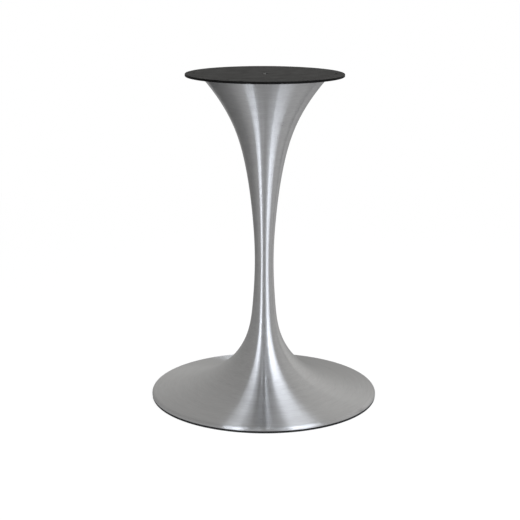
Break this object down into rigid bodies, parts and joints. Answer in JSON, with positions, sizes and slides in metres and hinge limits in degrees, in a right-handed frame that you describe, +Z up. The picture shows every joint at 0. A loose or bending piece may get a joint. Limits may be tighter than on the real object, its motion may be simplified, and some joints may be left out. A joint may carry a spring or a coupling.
{
  "type": "tulip table base",
  "caption": "Free-standing trumpet-shaped pedestal: brushed spun shell on a weighted round foot, with a flat round plate on top that a table top is screwed to.",
  "frame": {"origin": "on the floor under the middle of the foot", "axes": "+Z up along the axis of the pedestal; +X and +Y are alike, with a screw hole of the plate on +X"},
  "size_m": [0.5, 0.5, 0.715],
  "materials": {
    "brushed_aluminium": "spun and brushed in rings round the axis, clear satin",
    "black_powder_coat": "fine matt black powder coat on steel",
    "steel_tube": "plain drawn steel",
    "zinc_plated_steel": "bright zinc plate",
    "cast_iron": "sand cast, dipped in black primer",
    "black_rubber": "moulded matt rubber"
  },
  "bodies": {
    "root": {"trumpet_shell": "brushed_aluminium", "top_plate": "black_powder_coat", "centre_boss": "steel_tube", "column_tube": "steel_tube", "tie_rod": "zinc_plated_steel", "tie_washer": "zinc_plated_steel", "lock_washer": "zinc_plated_steel", "tie_nut": "zinc_plated_steel", "ballast_foot": "cast_iron", "floor_ring": "black_rubber"}
  },
  "joints": []
}
